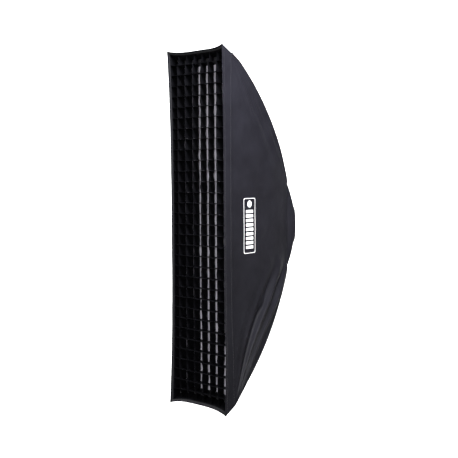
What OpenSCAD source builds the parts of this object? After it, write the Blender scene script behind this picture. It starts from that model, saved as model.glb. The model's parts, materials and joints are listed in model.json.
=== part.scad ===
// Strip softbox on a rotating speed ring with a three-lug light mount.
// The origin is the centre of the light's seat. +Y points back to the light, +Z up, and the front faces -Y.

/* [Box] */
// Width across the front edge of the lip
front_w = 350; // [330:1:400]
// Height across the front edge of the lip
front_h = 1600; // [1400:1:1700]
// Depth from the front edge of the lip to the light's seat
depth = 614; // [580:1:660]
// Thickness of the coated cloth of the four panels
cloth_t = 1; // [0.6:0.1:1.2]
// Thickness of the doubled cloth of the lip
lip_t = 1.5; // [1:0.1:2]

/* [Rods] */
// Radius of a glass fibre rod
rod_r = 3; // [2.5:0.1:3]
// How far the rod tips sit inside the lip edge, sideways
tip_in_x = 12; // [8:0.5:16]
// How far the rod tips sit inside the lip edge, up and down
tip_in_z = 40; // [30:1:50]
// How far the rod tips sit behind the lip edge
tip_behind = 60; // [50:1:70]
// Sideways place of a rod's axis where it meets the ring
foot_x = 31.5; // [28:0.5:34]
// Height of a rod's axis where it meets the ring
foot_z = 68.3; // [66:0.1:72]
// How far a rod's foot is in front of the seat
foot_in = 8; // [6:0.5:10]
// Angle between a rod and the ring's plane at its foot
foot_slope = 20.8; // [18:0.1:24]
// Distance from a rod's axis to the inner face of the cloth
cloth_gap = 6; // [5.8:0.1:7]
// Length of the metal ferrule on a rod's inner end
ferrule_len = 38; // [34:1:42]
// Radius of the ferrule
ferrule_r = 4; // [3.8:0.1:4]

/* [Light mount] */
// Radius of the through bore that the flash tube passes
bore_r = 44; // [42:0.5:45]
// Radius of the bayonet spigot
spigot_r = 48.75; // [48:0.05:49]
// Radius over the three bayonet lugs
lug_r = 52.5; // [52:0.1:53]
// How far the spigot stands behind the seat
spigot_len = 10; // [9:0.5:12]
// Radius of the seat flange
flange_r = 60; // [59:0.5:61]
// Radius of the hub that the speed ring turns on
hub_r = 54; // [53.8:0.1:54]
// Radial running clearance between the hub and the speed ring
hub_fit = 0.08; // [0.05:0.01:0.1]

/* [Speed ring] */
// Outer radius of the speed ring
ring_r = 62; // [61.5:0.5:64]
// Thickness of the speed ring along the axis
ring_t = 15.2; // [15:0.1:16]
// Pitch circle radius of the retaining ring's screws
retainer_pcd_r = 50; // [49:0.5:51]

/* [Egg-crate grid] */
// Number of long strips
long_strips = 6; // [6:1:6]
// Distance between long strips
long_pitch = 49; // [46:0.5:50]
// Number of cross strips
cross_strips = 32; // [26:2:32]
// Distance between cross strips
cross_pitch = 47.5; // [40:0.5:48]
// Depth of the grid from front to back
grid_d = 38; // [34:1:38]
// How far the grid is recessed behind the lip edge
grid_in = 15; // [12:1:15]
// Thickness of the grid's cloth strips
strip_t = 1.2; // [0.8:0.1:1.4]

/* [Diffusers] */
// Distance from the lip edge back to the front diffuser
diffuser_in = 58; // [56:0.5:59]
// Thickness of a diffuser sheet
sheet_t = 0.8; // [0.5:0.1:1]
// How much is cut off the front diffuser's corners, to clear the rod pockets
corner_cut = 24; // [22:1:30]
// How far the inner diffuser is in front of the seat
baffle_in = 330; // [280:5:380]
// Gap between the inner diffuser and the side panels
baffle_gap_x = 14; // [12:1:20]
// Gap between the inner diffuser and the top and bottom panels
baffle_gap_z = 40; // [34:1:60]

/* [Hidden] */
$fn = 96;
eps = 0.01;

// Quadrants of the box: the side each one is on, right or left and up or down
QUADRANTS = [
    ["top_right", 1, 1],
    ["top_left", -1, 1],
    ["bottom_right", 1, -1],
    ["bottom_left", -1, -1]
];

// Each rod is a circular arc in a plane through the ring's axis direction.
// In that plane u is the distance outward from the foot and f the distance forward.
tip_x = front_w / 2 - tip_in_x;
tip_z = front_h / 2 - tip_in_z;
rod_az = atan2(tip_z - foot_z, tip_x - foot_x);
chord_u = norm([tip_x - foot_x, tip_z - foot_z]);
chord_f = depth - tip_behind - foot_in;
chord_slope = atan2(chord_f, chord_u);
tip_slope = 2 * chord_slope - foot_slope;
arc_r = norm([chord_u, chord_f]) / (2 * sin(chord_slope - foot_slope));
arc_cu = -arc_r * sin(foot_slope);
arc_cf = arc_r * cos(foot_slope);

function arc_u(slope, off = 0) = arc_cu + (arc_r + off) * sin(slope);
function arc_f(slope, off = 0) = arc_cf - (arc_r + off) * cos(slope);

// A point of the cloth's inner face over the rod, where the rod has this slope
function seam(slope, off = 0) = let (u = arc_u(slope, cloth_gap + off)) [
    foot_x + u * cos(rod_az) + cloth_gap,
    -foot_in - arc_f(slope, cloth_gap + off),
    foot_z + u * sin(rod_az)
];
// The slope at which the seam is a given distance in front of the seat
function slope_at(front) = acos((arc_cf - (front - foot_in)) / (arc_r + cloth_gap));

// The ferrule is straight, along the rod's tangent at the ferrule's middle
ferrule_u = 26.5;
ferrule_slope = asin((ferrule_u - arc_cu) / arc_r);
ferrule_end = ferrule_len / 2;
ferrule_bore_r = rod_r + 0.15;
ferrule_base = 1.5;
rod_end_gap = 0.5;
rod_start_slope = ferrule_slope - (ferrule_end - ferrule_base - rod_end_gap) / arc_r * 180 / PI;
socket_base = 3;
socket_start = -ferrule_end - socket_base;
socket_mouth = 7;
socket_r = 6.5;
socket_bore_r = ferrule_r + 0.1;
foot_plate = [4, 12, 22];
foot_screw_z = 8;
foot_screw_r = 1.5;
foot_screw_len = 10;
foot_screw_head_r = 2.7;
foot_screw_head_t = 1.8;
head_bore_r = foot_screw_head_r + 0.1;
head_bore_len = 30;
hex_r = 1.3;
hex_depth = 1;
ear_t = 4;
ear_root = 54;
ear_root_t = 4;
ear_root_w = 20;

// Mount stack along the axis
flange_t = 4;
flange_fit = 0.6;
axial_gap = 0.4;
ring_back = -flange_t - axial_gap;
ring_front = ring_back - ring_t;
hub_front = ring_front - axial_gap;
retainer_t = 3;
retainer_in_r = 46;
retainer_out_r = 60;
retainer_screws_n = 4;
retainer_screw_r = 1.5;
retainer_screw_len = 11;
retainer_head_r = 2.8;
retainer_head_t = 1.8;
seat_in_r = 54.5;
seat_step = 0.5;
lug_back = 1;
lug_t = 4;
lug_span = 42;
lug_n = 3;

// Rotation lock, radial on the left side of the speed ring
lock_y = (ring_front + ring_back) / 2;
lock_boss_r = 6.5;
lock_boss_out = 72;
lock_screw_r = 3;
lock_bore_fit = 0.08;
shoe_r = 5;
shoe_pocket_r = 5.2;
shoe_pocket_out = 61.2;
shoe_gap = 0.3;
shoe_t = 2.6;
knob_in = 74;
knob_len = 15;
knob_r = 12;
knob_lobes = 6;
knob_lobe_r = 3.2;
knob_lobe_out = 0.6;
knob_lobe_fn = 48;
knob_neck_r = 7;
knob_neck_len = 3;

// Panels
panel_steps = 24;
panels_in = 60;
panel_slope0 = slope_at(panels_in);
function panel_slope(i) = panel_slope0 + (tip_slope - panel_slope0) * i / panel_steps;
lip_back = seam(tip_slope);
lip_len = depth + lip_back[1];

// Inner face of the lip at a distance s behind the front edge: half width and half height
function lip_hx(s) = (front_w / 2 - lip_t) + (lip_back[0] - front_w / 2 + lip_t) * s / lip_len;
function lip_hz(s) = (front_h / 2 - lip_t) + (lip_back[2] - front_h / 2 + lip_t) * s / lip_len;

// Layers against the lip, counted inward from its inner face
tape_t = 0.8;
tape_from = 4;
tape_to = 56;
hem_out = 1.1;
hem_in = 1.9;
hem_from = 17;
band_out = 2.2;
band_in = 3.4;
strip_end = 3.5;
slot_fit = 0.2;

// Rear collar, from a rounded rectangle round the ring to the panels' back edge
collar_back = -5;
collar_hx = 64.5;
collar_hz = 97;
collar_power = 4;
collar_n = 64;
collar_steps = 4;
collar_notch_r = 8;
collar_seam = 1.2;
elastic_r = 1.6;
elastic_n = 8;

// Inner diffuser
baffle_slope = slope_at(baffle_in);
baffle_edge = seam(baffle_slope);
baffle_hx = baffle_edge[0] - baffle_gap_x;
baffle_hz = baffle_edge[2] - baffle_gap_z;
strap_w = 15;
strap_t = 0.8;
snap_r = 6;
snap_t = 2;
snap_gap = 0.1;
// Lean of the side panels towards the front, where the straps meet them
snap_lean = atan(cos(baffle_slope) * cos(rod_az) / sin(baffle_slope));
// What a stud and its lean take off a strap's length, at the sides and at the ends
strap_short_x = snap_t + 0.5;
strap_short_z = (snap_t + snap_gap) / sin(baffle_slope) + 1;
strap_rows = [-0.62, 0, 0.62];

// Tip caps and corner pockets, along the rod's tangent at its tip
cap_r = 4;
cap_bore_r = 3.1;
cap_back = 12;
cap_out = 3.5;
pocket_in_r = 4.3;
pocket_out_r = 5.2;
pocket_back = 38;
pocket_end = 3.8;
pocket_out = 5;

black_cloth = [0.14, 0.14, 0.15];
black_metal = [0.08, 0.08, 0.09];
bare_metal = [0.75, 0.75, 0.77];
white_cloth = [0.92, 0.92, 0.94];
glass_fibre = [0.16, 0.15, 0.14];

// A closed solid through rings of points, each ring with the same number of points
module loft(rings) {
    k = len(rings[0]);
    n = len(rings);
    sides = [
        for (i = [0:n - 2], j = [0:k - 1])
            [i * k + j, i * k + (j + 1) % k, (i + 1) * k + (j + 1) % k, (i + 1) * k + j]
    ];
    first = [for (j = [k - 1:-1:0]) j];
    last = [for (j = [0:k - 1]) (n - 1) * k + j];
    polyhedron(points = [for (r = rings, p = r) p], faces = concat([first], sides, [last]), convexity = 4);
}

// A closed tube through rings of points, the last ring joined to the first
module closed_loft(rings) {
    k = len(rings[0]);
    n = len(rings);
    sides = [
        for (i = [0:n - 1], j = [0:k - 1])
            [i * k + j, i * k + (j + 1) % k, ((i + 1) % n) * k + (j + 1) % k, ((i + 1) % n) * k + j]
    ];
    polyhedron(points = [for (r = rings, p = r) p], faces = sides, convexity = 6);
}

// Puts what is drawn for the top right quadrant into another one
module quadrant(q) {
    mirror([q[1] < 0 ? 1 : 0, 0, 0])
        mirror([0, 0, q[2] < 0 ? 1 : 0])
            children();
}

// The plane of the top right rod: X outward, Y forward, origin at the foot
module rod_plane() {
    translate([foot_x, -foot_in, foot_z])
        rotate([180, -rod_az, 0])
            children();
}

// X along the rod, outward, from the point of the arc with this slope
module along_rod(slope) {
    rod_plane()
        translate([arc_u(slope), arc_f(slope), 0])
            rotate([0, 0, slope])
                children();
}

module rod_cylinder(x0, x1, r) {
    translate([x0, 0, 0])
        rotate([0, 90, 0])
            cylinder(r = r, h = x1 - x0);
}

// A cylinder along the ring's axis from y0 back to y1
module axial(y0, y1, r) {
    translate([0, y1, 0])
        rotate([90, 0, 0])
            cylinder(r = r, h = y1 - y0);
}

// The recess for a hex key, on both sides of the plane of the screw's head
module hex_recess() {
    cylinder(r = hex_r, h = 2 * hex_depth, center = true, $fn = 6);
}

module bayonet_lugs() {
    rotate([90, 0, 0])
        for (i = [0:lug_n - 1])
            translate([0, 0, -spigot_len + lug_back])
                rotate_extrude(angle = lug_span, start = 90 - lug_span / 2 + i * 360 / lug_n)
                    translate([spigot_r - 1, 0])
                        square([lug_r - spigot_r + 1, lug_t]);
}

module bayonet_insert() {
    color(bare_metal)
        difference() {
            union() {
                axial(hub_front, -flange_t, hub_r);
                axial(-flange_t, 0, flange_r);
                axial(0, spigot_len, spigot_r);
                bayonet_lugs();
            }
            axial(hub_front - 1, spigot_len + 1, bore_r);
            difference() {
                axial(-seat_step, eps, seat_in_r);
                axial(-1, 1, spigot_r);
            }
            retainer_pattern()
                axial(hub_front - 1, hub_front + retainer_screw_len - retainer_t, retainer_screw_r);
        }
}

module retainer_pattern() {
    for (i = [0:retainer_screws_n - 1])
        rotate([0, 45 + i * 360 / retainer_screws_n, 0])
            translate([retainer_pcd_r, 0, 0])
                children();
}

module retaining_ring() {
    color(black_metal)
        difference() {
            axial(hub_front - retainer_t, hub_front, retainer_out_r);
            axial(hub_front - retainer_t - 1, hub_front + 1, retainer_in_r);
            retainer_pattern()
                axial(hub_front - retainer_t - 1, hub_front + 1, retainer_screw_r);
        }
}

module retainer_screws() {
    front = hub_front - retainer_t;
    color(bare_metal)
        retainer_pattern()
            difference() {
                union() {
                    axial(front, front + retainer_screw_len, retainer_screw_r);
                    axial(front - retainer_head_t, front, retainer_head_r);
                }
                translate([0, front - retainer_head_t, 0])
                    rotate([90, 0, 0])
                        hex_recess();
            }
}

// Joins the ring's rim to the tilted plate that carries a rod socket
module ring_ear() {
    hull() {
        rotate([0, -atan2(foot_z, foot_x), 0])
            translate([ear_root, ring_front, -ear_root_w / 2])
                cube([ear_root_t, ring_t, ear_root_w]);
        along_rod(ferrule_slope)
            translate([socket_start - foot_plate[0] - ear_t, -foot_plate[1] / 2, -foot_plate[2] / 2])
                cube([ear_t, foot_plate[1], foot_plate[2]]);
    }
}

// Two screws of each rod socket, drawn for one quadrant
module foot_screw_pattern() {
    along_rod(ferrule_slope)
        for (z = [-foot_screw_z, foot_screw_z])
            translate([socket_start, 0, z])
                children();
}

module speed_ring() {
    color(black_metal)
        difference() {
            union() {
                axial(ring_front, ring_back, ring_r);
                for (q = QUADRANTS)
                    quadrant(q) ring_ear();
                translate([-lock_boss_out, lock_y, 0])
                    rotate([0, 90, 0])
                        cylinder(r = lock_boss_r, h = lock_boss_out - ring_r + 4);
            }
            axial(ring_front - 1, ring_back + 1, hub_r + hub_fit);
            axial(ring_back, ring_back + ring_t, flange_r + flange_fit);
            translate([-lock_boss_out - 1, lock_y, 0])
                rotate([0, 90, 0])
                    cylinder(r = lock_screw_r + lock_bore_fit, h = lock_boss_out - hub_r + 2);
            translate([-shoe_pocket_out, lock_y, 0])
                rotate([0, 90, 0])
                    cylinder(r = shoe_pocket_r, h = shoe_pocket_out - hub_r + 2);
            for (q = QUADRANTS)
                quadrant(q)
                    foot_screw_pattern()
                        rod_cylinder(-foot_screw_len, 0, foot_screw_r);
        }
}

module rod_socket(q) {
    color(black_metal)
        quadrant(q)
            along_rod(ferrule_slope)
                difference() {
                    union() {
                        translate([socket_start - foot_plate[0], -foot_plate[1] / 2, -foot_plate[2] / 2])
                            cube(foot_plate);
                        rod_cylinder(socket_start - eps, socket_mouth, socket_r);
                    }
                    rod_cylinder(-ferrule_end, socket_mouth + 1, socket_bore_r);
                    for (z = [-foot_screw_z, foot_screw_z])
                        translate([socket_start, 0, z]) {
                            rod_cylinder(-foot_plate[0] - 1, 1, foot_screw_r);
                            rod_cylinder(-foot_screw_head_t, head_bore_len, head_bore_r);
                        }
                }
}

module socket_screws() {
    color(bare_metal)
        for (q = QUADRANTS)
            quadrant(q)
                foot_screw_pattern()
                    difference() {
                        union() {
                            rod_cylinder(-foot_screw_len, -foot_screw_head_t, foot_screw_r);
                            rod_cylinder(-foot_screw_head_t, 0, foot_screw_head_r);
                        }
                        rotate([0, 90, 0])
                            hex_recess();
                    }
}

module rod_ferrule(q) {
    color(bare_metal)
        quadrant(q)
            along_rod(ferrule_slope)
                difference() {
                    rod_cylinder(-ferrule_end, ferrule_end, ferrule_r);
                    rod_cylinder(-ferrule_end + ferrule_base, ferrule_end + 1, ferrule_bore_r);
                }
}

module rod(q) {
    color(glass_fibre)
        quadrant(q)
            rod_plane()
                translate([arc_cu, arc_cf, 0])
                    rotate_extrude(angle = tip_slope - rod_start_slope, start = rod_start_slope - 90)
                        translate([arc_r, 0])
                            circle(r = rod_r);
}

module rod_tip_cap(q) {
    color(black_metal)
        quadrant(q)
            along_rod(tip_slope)
                difference() {
                    rod_cylinder(-cap_back, cap_out, cap_r);
                    rod_cylinder(-cap_back - 1, 0, cap_bore_r);
                }
}

module corner_pocket(q) {
    color(black_cloth)
        quadrant(q)
            along_rod(tip_slope)
                difference() {
                    rod_cylinder(-pocket_back, pocket_out, pocket_out_r);
                    rod_cylinder(-pocket_back - 1, pocket_end, pocket_in_r);
                }
}

module lock_shoe() {
    back = -hub_r - shoe_gap;
    color(bare_metal)
        difference() {
            translate([back - shoe_t, lock_y, 0])
                rotate([0, 90, 0])
                    cylinder(r = shoe_r, h = shoe_t + 1);
            axial(ring_front, ring_back, hub_r + shoe_gap);
        }
}

module lock_screw() {
    start = hub_r + shoe_gap + shoe_t;
    color(bare_metal)
        translate([-knob_in - knob_neck_len, lock_y, 0])
            rotate([0, 90, 0])
                cylinder(r = lock_screw_r, h = knob_in + knob_neck_len - start);
}

module lock_knob() {
    color(black_metal)
        translate([-knob_in, lock_y, 0])
            rotate([0, -90, 0])
                difference() {
                    union() {
                        cylinder(r = knob_neck_r, h = knob_neck_len + eps);
                        translate([0, 0, knob_neck_len])
                            linear_extrude(knob_len - knob_neck_len)
                                difference() {
                                    circle(r = knob_r);
                                    for (i = [0:knob_lobes - 1])
                                        rotate(i * 360 / knob_lobes)
                                            translate([knob_r + knob_lobe_out, 0])
                                                circle(r = knob_lobe_r, $fn = knob_lobe_fn);
                                }
                    }
                    translate([0, 0, -1])
                        cylinder(r = lock_screw_r, h = knob_neck_len + 1);
                }
}

// One side panel, drawn on the right
module side_panel() {
    loft([
        for (i = [0:panel_steps])
            let (p = seam(panel_slope(i)), x = p[0], y = p[1], z = p[2])
                [[x, y, -z], [x, y, z], [x + cloth_t, y, z], [x + cloth_t, y, -z]]
    ]);
}

// One end panel, drawn at the top
module end_panel() {
    loft([
        for (i = [0:panel_steps])
            let (
                p = seam(panel_slope(i)),
                o = seam(panel_slope(i), cloth_t),
                x = p[0] + cloth_t
            )
                [[-x, p[1], p[2]], [-x, o[1], o[2]], [x, o[1], o[2]], [x, p[1], p[2]]]
    ]);
}

module panel_right() {
    color(black_cloth) side_panel();
}

module panel_left() {
    color(black_cloth) mirror([1, 0, 0]) side_panel();
}

module panel_top() {
    color(black_cloth) end_panel();
}

module panel_bottom() {
    color(black_cloth) mirror([0, 0, 1]) end_panel();
}

module side_lip() {
    p = lip_back;
    x = front_w / 2;
    z = front_h / 2 - lip_t;
    loft([
        [
            [p[0], p[1], -p[2]],
            [p[0], p[1], p[2]],
            [p[0] + cloth_t, p[1], p[2]],
            [p[0] + cloth_t, p[1], -p[2]]
        ],
        [[x - lip_t, -depth, -z], [x - lip_t, -depth, z], [x, -depth, z], [x, -depth, -z]]
    ]);
}

module end_lip() {
    p = lip_back;
    o = seam(tip_slope, cloth_t);
    back_x = p[0] + cloth_t;
    x = front_w / 2;
    z = front_h / 2;
    loft([
        [[-back_x, p[1], p[2]], [-back_x, o[1], o[2]], [back_x, o[1], o[2]], [back_x, p[1], p[2]]],
        [[-x, -depth, z - lip_t], [-x, -depth, z], [x, -depth, z], [x, -depth, z - lip_t]]
    ]);
}

module lip_right() {
    color(black_cloth) side_lip();
}

module lip_left() {
    color(black_cloth) mirror([1, 0, 0]) side_lip();
}

module lip_top() {
    color(black_cloth) end_lip();
}

module lip_bottom() {
    color(black_cloth) mirror([0, 0, 1]) end_lip();
}

// A band that lies along the right side of the lip, from s0 to s1 behind its edge.
// It stops short of the corners by cut.
module side_band(s0, s1, out, in, cut) {
    loft([
        for (s = [s1, s0])
            let (x = lip_hx(s), z = lip_hz(s) - in - cut, y = -depth + s)
                [[x - in, y, -z], [x - in, y, z], [x - out, y, z], [x - out, y, -z]]
    ]);
}

// The same along the top
module end_band(s0, s1, out, in, cut) {
    loft([
        for (s = [s1, s0])
            let (x = lip_hx(s) - out - cut, z = lip_hz(s), y = -depth + s)
                [[-x, y, z - in], [-x, y, z - out], [x, y, z - out], [x, y, z - in]]
    ]);
}

module band(side, s0, s1, out, in, cut = 0) {
    if (side == "right") side_band(s0, s1, out, in, cut);
    if (side == "left") mirror([1, 0, 0]) side_band(s0, s1, out, in, cut);
    if (side == "top") end_band(s0, s1, out, in, cut);
    if (side == "bottom") mirror([0, 0, 1]) end_band(s0, s1, out, in, cut);
}

module lip_loop_tape() {
    color(black_cloth)
        for (side = ["right", "left", "top", "bottom"])
            band(side, tape_from, tape_to, 0, tape_t);
}

module diffuser_hem(side) {
    color(black_cloth) band(side, hem_from, diffuser_in, hem_out, hem_in, corner_cut);
}

module grid_band(side) {
    color(black_cloth) band(side, grid_in, grid_in + grid_d, band_out, band_in);
}

// Point j of the collar's rounded rectangle, with its half sizes
function collar_point(j, hx, hz, y, power) =
    let (
        a = (j + 0.5) * 360 / collar_n,
        c = cos(a),
        s = sin(a),
        m = pow(pow(abs(c), power) + pow(abs(s), power), -1 / power)
    )
        [hx * c * m, y, hz * s * m];

// Point j of the panels' back edge, at the same parameter as the collar's
function panel_edge_point(j, grow) =
    let (
        p = seam(panel_slope0),
        a = (j + 0.5) * 360 / collar_n,
        m = 1 / max(abs(cos(a)), abs(sin(a)))
    )
        [(p[0] + grow) * cos(a) * m, p[1] + collar_seam, (p[2] + grow) * sin(a) * m];

function mix(a, b, t) = a + (b - a) * t;

// A point of the collar, from its back edge at t = 0 to the panels at t = 1
function collar_skin(j, t, grow) = mix(
    collar_point(j, collar_hx + grow, collar_hz + grow, collar_back, collar_power),
    panel_edge_point(j, grow),
    t
);

module rear_collar() {
    color(black_cloth)
        difference() {
            closed_loft([
                for (j = [0:collar_n - 1])
                    concat(
                        [for (i = [0:collar_steps]) collar_skin(j, i / collar_steps, cloth_t)],
                        [for (i = [collar_steps:-1:0]) collar_skin(j, i / collar_steps, 0)]
                    )
            ]);
            translate([-lock_boss_out, lock_y, 0])
                rotate([0, 90, 0])
                    cylinder(r = collar_notch_r, h = lock_boss_out - ring_r + 4);
        }
}

module collar_elastic() {
    y = collar_back + elastic_r;
    color(black_cloth)
        closed_loft([
            for (j = [0:collar_n - 1])
                let (c = collar_point(j, collar_hx + cloth_t / 2, collar_hz + cloth_t / 2, y, collar_power))
                    [
                        for (k = [0:elastic_n - 1])
                            let (a = k * 360 / elastic_n, out = [c[0], 0, c[2]] / norm([c[0], 0, c[2]]))
                                c + out * elastic_r * cos(a) + [0, elastic_r * sin(a), 0]
                    ]
        ]);
}

module inner_diffuser() {
    color(white_cloth)
        translate([-baffle_hx, -baffle_in - sheet_t / 2, -baffle_hz])
            cube([2 * baffle_hx, sheet_t, 2 * baffle_hz]);
}

// Straps from the inner diffuser's edge to the studs on the panels
module baffle_straps() {
    len_x = baffle_gap_x - strap_short_x;
    len_z = baffle_gap_z - strap_short_z;
    color(black_cloth)
        for (side = [-1, 1]) {
            for (row = strap_rows)
                translate([side * (baffle_hx + len_x / 2), -baffle_in, row * baffle_hz])
                    cube([len_x, strap_t, strap_w], center = true);
            translate([0, -baffle_in, side * (baffle_hz + len_z / 2)])
                cube([strap_w, strap_t, len_z], center = true);
        }
}

// A stud that lies against a panel, which is at the height of the stud's outer face
module snap_stud() {
    translate([0, 0, -snap_t - snap_gap])
        cylinder(r = snap_r, h = snap_t);
}

module snap_fasteners() {
    color(bare_metal)
        for (side = [0, 1]) {
            for (row = strap_rows)
                mirror([side, 0, 0])
                    translate([baffle_edge[0], -baffle_in, row * baffle_hz])
                        rotate([0, 90, snap_lean])
                            snap_stud();
            mirror([0, 0, side])
                translate([0, -baffle_in, baffle_edge[2]])
                    rotate([baffle_slope - 90, 0, 0])
                        snap_stud();
        }
}

module front_diffuser() {
    x = lip_hx(diffuser_in + sheet_t) - hem_out;
    z = lip_hz(diffuser_in + sheet_t) - hem_out;
    quarter = [[x, z - corner_cut], [x - corner_cut, z]];
    color(white_cloth)
        translate([0, -depth + diffuser_in + sheet_t, 0])
            rotate([90, 0, 0])
                linear_extrude(sheet_t)
                    polygon([
                        quarter[0], quarter[1],
                        [-quarter[1][0], z], [-x, quarter[0][1]],
                        [-x, -quarter[0][1]], [-quarter[1][0], -z],
                        [quarter[1][0], -z], [x, -quarter[0][1]]
                    ]);
}

grid_front = -depth + grid_in;
grid_back = grid_front + grid_d;
grid_mid = (grid_front + grid_back) / 2;
slot_w = strip_t + 2 * slot_fit;
function long_x(i) = (i - (long_strips - 1) / 2) * long_pitch;
function cross_z(i) = (i - (cross_strips - 1) / 2) * cross_pitch;

// Outline of a slotted strip: across is the half length at the front and at the back,
// cuts the slots' places, and the slots run from the middle to the named edge
module comb(half_front, half_back, cuts, cut_front) {
    edge = cut_front ? grid_front : grid_back;
    plain = cut_front ? grid_back : grid_front;
    half_edge = cut_front ? half_front : half_back;
    half_plain = cut_front ? half_back : half_front;
    slots = [
        for (c = cuts, p = [[-1, edge], [-1, grid_mid], [1, grid_mid], [1, edge]])
            [c + p[0] * slot_w / 2, p[1]]
    ];
    left_end = [[-half_plain, plain], [-half_edge, edge]];
    right_end = [[half_edge, edge], [half_plain, plain]];
    polygon(concat(left_end, slots, right_end));
}

module grid_strip(i) {
    cuts = [for (k = [0:cross_strips - 1]) cross_z(k)];
    color(black_cloth)
        translate([long_x(i - 1) + strip_t / 2, 0, 0])
            rotate([0, -90, 0])
                linear_extrude(strip_t)
                    comb(lip_hz(grid_in) - strip_end, lip_hz(grid_in + grid_d) - strip_end, cuts, true);
}

module grid_cross_strips() {
    cuts = [for (k = [0:long_strips - 1]) long_x(k)];
    color(black_cloth)
        for (k = [0:cross_strips - 1])
            translate([0, 0, cross_z(k) - strip_t / 2])
                linear_extrude(strip_t)
                    comb(lip_hx(grid_in) - strip_end, lip_hx(grid_in + grid_d) - strip_end, cuts, false);
}

bayonet_insert();
retaining_ring();
retainer_screws();
speed_ring();
socket_screws();
lock_shoe();
lock_screw();
lock_knob();
for (q = QUADRANTS) {
    rod_socket(q);
    rod_ferrule(q);
    rod(q);
    rod_tip_cap(q);
    corner_pocket(q);
}
panel_right();
panel_left();
panel_top();
panel_bottom();
lip_right();
lip_left();
lip_top();
lip_bottom();
lip_loop_tape();
rear_collar();
collar_elastic();
inner_diffuser();
baffle_straps();
snap_fasteners();
front_diffuser();
for (side = ["right", "left", "top", "bottom"]) {
    diffuser_hem(side);
    grid_band(side);
}
grid_cross_strips();
for (i = [1:long_strips])
    grid_strip(i);
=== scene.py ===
"""Strip softbox: its cloth, egg-crate grid, diffusers, seams and finishes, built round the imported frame."""
import functools
import json
import math
import random

import bmesh
import bpy
import numpy as np
from mathutils import Matrix, Vector, noise
from mathutils.bvhtree import BVHTree


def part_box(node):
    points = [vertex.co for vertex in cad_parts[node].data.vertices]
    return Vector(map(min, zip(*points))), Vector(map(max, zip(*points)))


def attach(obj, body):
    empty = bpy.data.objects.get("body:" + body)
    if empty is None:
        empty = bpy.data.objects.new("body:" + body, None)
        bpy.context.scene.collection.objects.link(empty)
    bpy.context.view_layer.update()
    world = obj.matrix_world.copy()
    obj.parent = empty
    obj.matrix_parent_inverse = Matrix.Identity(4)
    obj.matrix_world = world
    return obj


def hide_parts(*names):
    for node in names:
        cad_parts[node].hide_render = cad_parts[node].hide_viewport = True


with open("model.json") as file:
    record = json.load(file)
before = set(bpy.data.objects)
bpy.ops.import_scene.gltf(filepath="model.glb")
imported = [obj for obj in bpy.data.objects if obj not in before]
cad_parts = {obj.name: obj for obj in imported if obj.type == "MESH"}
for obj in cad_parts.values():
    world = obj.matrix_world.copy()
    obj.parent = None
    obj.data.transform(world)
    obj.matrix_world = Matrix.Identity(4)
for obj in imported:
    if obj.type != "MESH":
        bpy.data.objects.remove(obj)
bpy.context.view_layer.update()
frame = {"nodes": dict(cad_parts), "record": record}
NODES = frame["nodes"]
MM = 0.001

# ---- camera
# Fitted to the four front corners in the photo: degrees, metres, and focal length in sensor widths
CAMERA_YAW = 44.31
CAMERA_PITCH = -3.65
CAMERA_ROLL = -0.30
CAMERA_DISTANCE = 4.048
CAMERA_RIGHT = 0.1512
CAMERA_UP = 0.005
CAMERA_FOCAL = 1.998
SENSOR = 36.0


def make_camera(aim):
    """A camera that looks at aim, a point on the front plane, from the front right."""
    yaw, pitch, roll = (math.radians(a) for a in (CAMERA_YAW, CAMERA_PITCH, CAMERA_ROLL))
    forward = Vector((-math.sin(yaw) * math.cos(pitch), math.cos(yaw) * math.cos(pitch), math.sin(pitch)))
    level = Vector((math.cos(yaw), math.sin(yaw), 0))
    upright = level.cross(forward)
    right = level * math.cos(roll) + upright * math.sin(roll)
    up = upright * math.cos(roll) - level * math.sin(roll)
    data = bpy.data.cameras.new("camera")
    data.sensor_width = SENSOR
    data.lens = SENSOR * CAMERA_FOCAL
    data.clip_end = 100
    camera = bpy.data.objects.new("camera", data)
    bpy.context.scene.collection.objects.link(camera)
    place = aim - forward * CAMERA_DISTANCE + right * CAMERA_RIGHT + up * CAMERA_UP
    turn = Matrix((right, up, -forward)).transposed()
    camera.matrix_world = Matrix.Translation(place) @ turn.to_4x4()
    bpy.context.scene.camera = camera


# ---- materials
def new_material(name, colour, roughness, metallic=0.0, sheen=0.0, specular=0.5):
    """A principled material with plain values on its own sockets, and its node tree."""
    material = bpy.data.materials.new(name)
    material.use_nodes = True
    shader = material.node_tree.nodes["Principled BSDF"]
    shader.inputs["Base Color"].default_value = (*colour, 1)
    shader.inputs["Roughness"].default_value = roughness
    shader.inputs["Metallic"].default_value = metallic
    shader.inputs["Sheen Weight"].default_value = sheen
    shader.inputs["Sheen Roughness"].default_value = 0.45
    shader.inputs["Specular IOR Level"].default_value = specular
    return material


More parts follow.
